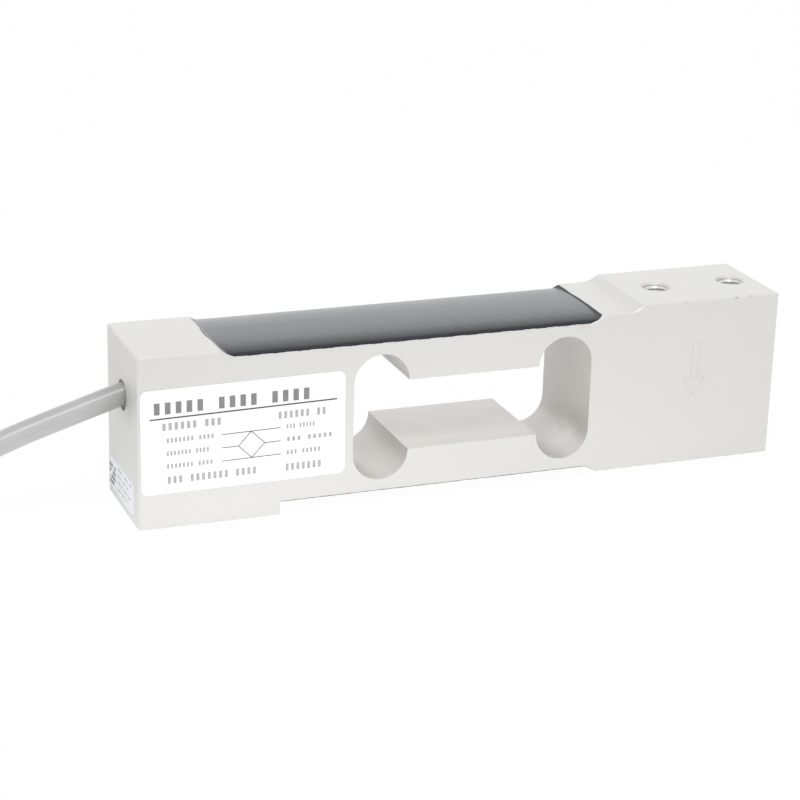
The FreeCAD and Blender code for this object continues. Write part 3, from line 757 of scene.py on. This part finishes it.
thread = {
    "pitch": 1.0,
    "outer": 2.99,
    "inner": 2.50,
    "depth": 14.2,
    "lead": 0.55,               # distance from the face to the first full turn
    "fade": 0.8,                # depth over which the turns grow to full size
    "flank": (1.35, 0.15),      # the wave's steepness and how much of its foot is cut off
    "around": 40,
    "perTurn": 8,
    # X, height of the face that the hole starts at, and its way up or down
    "places": ((69.0, 40.0, -1), (50.0, 40.0, -1), (-69.0, 0.0, 1), (-50.0, 0.0, 1)),
}


def threadSleeve(x, face, way):
    # rings down the hole whose radius is a triangle wave of depth over pitch minus turn, so the
    # crest climbs one pitch each turn; the wall behind it is the hole itself
    rows = int(thread["depth"] / thread["pitch"]) * thread["perTurn"] + 1
    depth = np.linspace(thread["lead"], thread["depth"], rows)[:, None]
    turn = fullTurn(thread["around"])
    phase = (depth / thread["pitch"] - turn / (2 * np.pi)) % 1.0
    wave = np.clip(np.abs(phase * 2 - 1) * thread["flank"][0] - thread["flank"][1], 0, 1)
    fade = np.clip((depth - thread["lead"]) / thread["fade"], 0, 1)
    outer = thread["outer"]
    radius = outer - (outer - thread["inner"]) * wave * fade
    inside = grid(x + radius * np.cos(turn), radius * np.sin(turn), face + way * depth)
    outside = grid(x + outer * np.cos(turn), outer * np.sin(turn), face + way * depth[::-1])
    faces = gridFaces(2 * rows, thread["around"], True, True)
    points = np.concatenate([inside, outside]).reshape(-1, 3)
    return points, (faces if way > 0 else faces[:, ::-1]).tolist()


def addThreads():
    turns = [threadSleeve(*place) for place in thread["places"]]
    piece = newPiece("screwThreads", *joinParts(turns), made["threadMetal"])
    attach(piece, "root")


addThreads()
print("threads cut")

coat = {
    "left": -56.9,
    "right": 31.2,
    "foot": -43.7,              # where the lower coat starts, at the foot's inner end
    "endGaps": (0.05, 0.02),    # between a coat's end and a ramp's top, and between it and the foot
    "halfWidth": 12.30,
    "lowerInset": 0.22,         # how much further back the lower coat's front edge is
    "lowerAhead": 10.0,         # its left end is square: its corner would be this much further left
    "corners": (2.7, 0.9, 1.2, 0.9),        # sizes: front left, rear left, front right, rear right
    "ragged": (0.055, 1.7),     # how far the front edge wanders and how often
    "endWave": (0.30, 0.10),    # how far the left and the right end wander
    "endWaveFade": 3.0,
    "wall": (0.56, 0.10),       # height of the coat's side, above and below, before it rounds over
    "crown": 0.75,              # how much higher the middle is than that
    "power": 2.35,
    "round": 0.60,
    "feather": 0.08,            # least thickness
    "soften": 0.02,             # how softly the thickness stops falling there
    "endRound": 1.0,
    "wave": 0.016,              # long low waves of the surface
    "slopeStart": 12.2,
    "drip": 0.05,               # how far the lower skin's edge hangs down unevenly
    "cutter": 6.0,              # radius of the cutter that left the ramps
    "floors": (37.0, 3.1),
    "steps": (1.5, 1.6),        # height of the ramps, above and below
    "rows": 380,
    "columns": 55,
    "crowding": 1.8,            # the columns stand closer at the edges by this power
    "smoothBelow": 50.0,
    "tones": ((0.006, 0.007, 0.009), (0.011, 0.013, 0.015)),
    "sheen": (0.86, 0.93, 1.0, 1.0),        # what it throws back is slightly blue
    "roughness": (0.17, 0.25),
}


def softNoise(u, v, seed):
    # a few sine waves with odd lengths and starts, of about unit size
    values = np.zeros(np.broadcast(u, v).shape)
    generator = np.random.default_rng(seed)
    for size in (1.0, 1.9, 3.7, 7.1):
        a, b, c = generator.uniform(0.6, 1.4), generator.uniform(-1.2, 1.2), generator.uniform(0, 6.28)
        values += np.sin(size * (a * u + b * v) + c) / size
    return values / 1.6


def rampRise(x, end, way, step):
    # height of a floor that climbs a round cutter's arc up to its end: radius minus the root of
    # radius squared minus the distance into the ramp squared
    radius = coat["cutter"]
    run = math.sqrt(radius ** 2 - (radius - step) ** 2)
    past = np.clip((x - (end - way * run)) * way, 0, run)
    return radius - np.sqrt(radius ** 2 - past ** 2)


def cornerPull(gap, size):
    # how far a rounded corner of this size draws the side in, at a gap from the end
    inside = np.clip(1 - gap / size, 0, 1)
    return size * (1 - np.sqrt(1 - inside ** 2))


def coatBase(x, lower):
    # the recess's floor with its ramps: one at each end above, and one at the right end below
    floor, step = coat["floors"][lower], coat["steps"][lower]
    climb = rampRise(x, coat["right"], 1, step)
    return floor - climb if lower else floor + (rampRise(x, coat["left"], -1, step) + climb)


def coatSheet(left, right, side, seed):
    # upper skin: a level sheet that rounds down at its long sides as a power curve and at its ends
    # as a quarter circle, never under the climbing floor; lower skin: the floor; a rim joins them
    rows, columns, lower = coat["rows"], coat["columns"], side < 0
    u = np.linspace(0, 1, rows)[:, None]
    v = np.linspace(-1, 1, columns)
    v = np.sign(v) * (1 - (1 - np.abs(v)) ** coat["crowding"])
    x = left + (right - left) * (0.5 - 0.5 * np.cos(np.pi * u))
    fromLeft, fromRight = x - left + (coat["lowerAhead"] if lower else 0), right - x
    pulls = [cornerPull(gap, size) for gap, size in zip((fromLeft, fromLeft, fromRight, fromRight), coat["corners"])]
    reach, often = coat["ragged"]
    front = -coat["halfWidth"] + pulls[0] + pulls[2] + reach * softNoise(x * often, 0 * x, seed)
    rear = coat["halfWidth"] - pulls[1] - pulls[3]
    front = front + (coat["lowerInset"] if lower else 0)
    y = front + (rear - front) * (v + 1) / 2
    # the ends wander a little from front to back, fading out within the sheet
    for wave, gap, shift in zip(coat["endWave"], (fromLeft, fromRight), (4, 5)):
        x = x + wave * np.exp(-gap / coat["endWaveFade"]) * softNoise(v * 2.6, 0 * v, seed + shift)
    base = coatBase(x, lower)
    dome = np.power(1 - np.abs(v) ** coat["power"], coat["round"])
    spare = coat["wall"][lower] + coat["crown"] * dome - np.abs(base - coat["floors"][lower]) - coat["feather"]
    spare = 0.5 * (spare + np.sqrt(spare ** 2 + coat["soften"]))
    endShare = np.clip(np.minimum(fromLeft, fromRight) / coat["endRound"], 0, 1)
    endFall = np.sqrt(1 - (1 - endShare) ** 2)
    waves = coat["wave"] * softNoise(x * 0.22, v * 2.0, seed + 1)
    above = grid(x, y, base + side * (coat["feather"] + (spare + waves) * endFall))
    # beyond the metal's broken edge the lower skin hangs down along the slope, a little unevenly
    drip = coat["drip"] * (np.abs(v) > 0.999) * (1 + softNoise(x * 1.3, 0 * x, seed + 2))
    under = grid(x, y, base - side * (np.clip(np.abs(y) - coat["slopeStart"], 0, None) + drip))
    count = rows * columns
    edge = np.concatenate([
        np.arange(columns), np.arange(1, rows) * columns + columns - 1,
        (rows - 1) * columns + np.arange(columns - 2, -1, -1), np.arange(rows - 2, 0, -1) * columns])
    after = np.roll(edge, -1)
    rim = np.stack([edge, edge + count, after + count, after], axis=1)
    faces = np.concatenate([gridFaces(rows, columns), gridFaces(rows, columns, start=count)[:, ::-1], rim])
    return np.concatenate([above.reshape(-1, 3), under.reshape(-1, 3)]), faces if lower else faces[:, ::-1]


def coatFinish():
    # deep black gloss with a very fine orange-peel relief and a slightly greyer bloom in patches
    material, tree, shader = startMaterial("coatFinish", 0.20, 0.0, 1.52)
    shader.inputs["Specular Tint"].default_value = coat["sheen"]
    bloom = grain(tree, objectSpace(tree, (0.25, 1.0, 1.0)), 120.0)
    tone = blend(tree, spread(tree, bloom, 0.0, 1.0), *coat["tones"])
    peel = grain(tree, objectSpace(tree), 420.0, 2.0)
    dress(tree, shader, tone, spread(tree, bloom, *coat["roughness"]), peel, 0.10, 0.0001)
    return material


def addCoats():
    material = coatFinish()
    gap, footGap = coat["endGaps"]
    sheets = (("topCoat", "top_coating", coat["left"] + gap, 1, 3),
              ("bottomCoat", "bottom_coating", coat["foot"] + footGap, -1, 8))
    for name, node, left, side, seed in sheets:
        piece = newPiece(name, *coatSheet(left, coat["right"] - gap, side, seed), material)
        piece.data.set_sharp_from_angle(angle=math.radians(coat["smoothBelow"]))
        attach(piece, "root")
        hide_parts(node)


addCoats()
print("coatings laid")

seal = {
    "mouth": -74.75,
    "depth": 5.75,
    "outer": 3.38,
    "inner": 2.46,
    "dish": 0.30,
    "lump": 0.10,
    "lumps": 3,                 # how often they come round
    "boreHeight": 26.4,
    "cableHeight": (26.69, 27.13),          # the cable's middle at the seal's mouth and at its back
    "rows": 9,
    "around": 48,
}


def sealSide(x, share, turn, cableHeight):
    # rings from the cable out to the bore's wall, whose middles go from the one's to the other's
    radius = seal["inner"] + (seal["outer"] - seal["inner"]) * share
    middle = seal["boreHeight"] * share + cableHeight * (1 - share)
    return grid(x, radius * np.cos(turn), radius * np.sin(turn) + middle)


def addSeal():
    # a washer with its outer face dished and lumpy: a parabola across it, plus a soft noise round
    # it that is greatest halfway
    share = np.linspace(0, 1, seal["rows"])[:, None]
    turn = fullTurn(seal["around"])
    dish = seal["mouth"] + seal["dish"] * (1 - (2 * share - 1) ** 2)
    lump = seal["lump"] * softNoise(turn * seal["lumps"], turn * 0, 5)
    front = sealSide(dish + lump * np.sin(np.pi * share), share, turn, seal["cableHeight"][0])
    back = sealSide(seal["mouth"] + seal["depth"], share, turn, seal["cableHeight"][1])
    points = np.concatenate([front, back[::-1]]).reshape(-1, 3)
    faces = gridFaces(2 * seal["rows"], seal["around"], True, True)[:, ::-1]
    piece = newPiece("cableSeal", points, faces, made["sealant"])
    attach(piece, "root")
    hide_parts("cable_seal")


addSeal()
print("seal poured")

label = {
    "proud": 0.015,             # thickness of the print above the label
    "lineProud": 1.3,           # how many times that the lines stand
    "frontCentre": (23.2, 19.75),
    "frontTilt": 0.5,
    "frontFace": -12.6,
    "endFace": -75.1,
    "blockShare": 0.52,         # share of each cell that its block takes
    # from a to a at height b, the blocks' height and how many blocks each group has
    "heading": ((3.0, 38.2, 27.2, 2.6, (5, 4, 4)),),
    "rows": (
        (5.0, 18.3, 23.1, 1.6, (6, 3)), (30.5, 41.6, 22.9, 1.6, (6, 2)),
        (6.0, 16.6, 20.0, 1.0, (7, 4)), (6.0, 15.5, 17.1, 1.0, (7, 4)), (6.0, 16.3, 14.2, 1.0, (7, 4)),
        (32.4, 39.0, 20.2, 1.0, (3, 5)), (32.4, 43.0, 17.3, 1.0, (3, 5)), (32.4, 40.3, 14.3, 1.0, (3, 5)),
        (6.0, 26.0, 11.1, 1.6, (3, 7, 4)), (32.1, 40.6, 10.9, 1.6, (7,)),
    ),
    # the rule and the bridge's four leads from (a, b) to (a, b), with their stroke
    "lines": (
        (2.6, 24.95, 43.9, 25.25, 0.30), (18.2, 20.0, 31.2, 20.1, 0.16), (18.2, 14.0, 31.3, 14.1, 0.16),
        (18.2, 17.0, 21.9, 17.0, 0.16), (27.7, 17.1, 31.2, 17.1, 0.16),
    ),
    "bridge": ((21.9, 17.0), (24.7, 20.05), (27.7, 17.1), (24.8, 14.1)),
    "bridgeStroke": 0.16,
    "endSquare": (1.8, 3.1, 1.25, 0.85, 4),     # first block's a and b, spacing, block's size, how many
    "endBars": (
        (8.0, 19.5, 8.0, 0.55, (4, 3, 2)), (8.0, 17.0, 6.4, 0.55, (4, 3, 2)),
        (8.0, 19.0, 4.8, 0.55, (4, 3, 2)), (8.0, 15.5, 3.2, 0.55, (4, 3, 2)),
    ),
    "endBorder": ((0.9, 1.7), (21.4, 1.7), (21.4, 9.2), (0.9, 9.2)),
    "endStroke": 0.1,
}

arrow = {
    "outline": ((128.9, 30.0), (130.6, 30.0), (130.6, 21.9), (132.4, 21.9), (129.6, 17.8), (127.0, 21.9),
                (128.9, 21.9)),
    "stroke": 0.26,
    "proud": 0.012,
}


def barBlock(rows, thick):
    # each row is the middle (a, b), length, height, turn in degrees: a thin flat block
    rows = np.asarray(rows, dtype=float)
    angle = np.radians(rows[:, 4])[:, None]
    cornerA = np.array([-0.5, 0.5, 0.5, -0.5]) * rows[:, 2:3]
    cornerB = np.array([-0.5, -0.5, 0.5, 0.5]) * rows[:, 3:4]
    a = rows[:, 0:1] + cornerA * np.cos(angle) - cornerB * np.sin(angle)
    b = rows[:, 1:2] + cornerA * np.sin(angle) + cornerB * np.cos(angle)
    points = np.concatenate([grid(a, b, 0.0), grid(a, b, thick)], axis=1).reshape(-1, 3)
    block = np.array([[3, 2, 1, 0], [4, 5, 6, 7], [0, 1, 5, 4], [1, 2, 6, 5], [2, 3, 7, 6], [3, 0, 4, 7]])
    return points, (block + 8 * np.arange(len(rows))[:, None, None]).reshape(-1, 4)


def lineRow(a0, b0, a1, b1, thick):
    # a straight stroke between two points, as a row for barBlock
    turn = math.degrees(math.atan2(b1 - b0, a1 - a0))
    return (a0 + a1) / 2, (b0 + b1) / 2, math.hypot(a1 - a0, b1 - b0), thick, turn


def loopRows(corners, stroke):
    # strokes from corner to corner and back to the first
    return [lineRow(*start, *end, stroke) for start, end in zip(corners, corners[1:] + corners[:1])]


def wordRows(a0, a1, b, height, words):
    # plain blocks where a label has words: the span is cut into even cells, one for each block,
    # and an empty cell parts one group from the next
    cell = (a1 - a0) / (sum(words) + len(words) - 1)
    rows, place = [], 0
    for word in words:
        rows += [(a0 + (place + k + 0.5) * cell, b, cell * label["blockShare"], height, 0.0) for k in range(word)]
        place += word + 1
    return rows


def onFront(points):
    # a runs from the beam's left end and b from its base; tilted about the label's middle
    angle = math.radians(label["frontTilt"])
    middleA, middleB = label["frontCentre"]
    a, b = points[:, 0] - middleA, points[:, 1] - middleB
    x = middleA - beam["half"][0] + a * math.cos(angle) - b * math.sin(angle)
    z = middleB + a * math.sin(angle) + b * math.cos(angle)
    return grid(x, label["frontFace"] - points[:, 2], z)


def onEnd(points):
    # a runs from the rear edge of the end face towards the front, b from the base
    return grid(label["endFace"] - points[:, 2], beam["half"][1] - points[:, 0], points[:, 1])


def onBlock(points):
    # on the bare metal of the front face, a from the beam's left end and b from its base
    return grid(points[:, 0] - beam["half"][0], -beam["half"][1] - points[:, 2], points[:, 1])


def endSquareRows():
    # a square of plain blocks in no code's pattern: some are left out by an even rule
    a, b, gap, size, count = label["endSquare"]
    return [(a + i * gap, b + j * gap, size, size, 0.0)
            for i in range(count) for j in range(count) if (i * 3 + j * 5) % 4 != 1]


def addMarks():
    # the print on both labels, and a hollow arrow on the metal that shows which way the load goes
    blocks = {name: sum((wordRows(*row) for row in label[name]), []) for name in ("heading", "rows", "endBars")}
    diagram = [lineRow(*row) for row in label["lines"]] + loopRows(label["bridge"], label["bridgeStroke"])
    low, high = label["proud"], label["proud"] * label["lineProud"]
    for name, rows, place, material, proud in (
        ("frontPrintHeading", blocks["heading"], onFront, "softInk", low),
        ("frontPrintRows", blocks["rows"], onFront, "paleInk", low),
        ("frontPrintDiagram", diagram, onFront, "ink", high),
        ("endPrintBlocks", endSquareRows(), onEnd, "ink", low),
        ("endPrintBars", blocks["endBars"], onEnd, "paleInk", low),
        ("endPrintBorder", loopRows(label["endBorder"], label["endStroke"]), onEnd, "paleInk", high),
        ("loadArrow", loopRows(arrow["outline"], arrow["stroke"]), onBlock, "engraving", arrow["proud"]),
    ):
        points, faces = barBlock(rows, proud)
        piece = newPiece(name, place(points), faces, made[material], smooth=False)
        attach(piece, "root")


addMarks()
print("labels printed")


def labelFinish(name, first, second):
    # smooth white film with a faint waviness
    material, tree, shader = startMaterial(name, 0.32)
    vector = objectSpace(tree)
    soft = grain(tree, vector, 140.0, 2.0)
    tone = blend(tree, spread(tree, soft, 0.0, 1.0), first, second)
    dress(tree, shader, tone, spread(tree, soft, 0.28, 0.36), grain(tree, vector, 600.0, 2.0), 0.05, 0.00005)
    return material


films = {
    "front_label": ("frontLabelFinish", (0.930, 0.936, 0.948), (0.905, 0.911, 0.923)),
    "end_label": ("endLabelFinish", (0.850, 0.868, 0.895), (0.820, 0.838, 0.866)),
}

# each finish and the CAD nodes inside the beam that carry it
carried = {
    "film": ("strain_gauge_top_left", "strain_gauge_top_right", "strain_gauge_bottom_left",
             "strain_gauge_bottom_right"),
    "board": ("terminal_board_top", "terminal_board_bottom"),
    "enamel": ("gauge_wires_top", "gauge_wires_bottom", "link_wires"),
    "solder": ("solder_joints_top", "solder_joints_bottom"),
    "core": ("inner_leads", "lead_bundle"),
    "chip": ("span_resistors", "zero_resistor"),
}


def wear(node, material):
    nodes[node].data.materials.clear()
    nodes[node].data.materials.append(material)


for node, look in films.items():
    wear(node, labelFinish(*look))
for finish, names in carried.items():
    for node in names:
        wear(node, made[finish])
print("carried pieces finished")

bpy.context.view_layer.update()
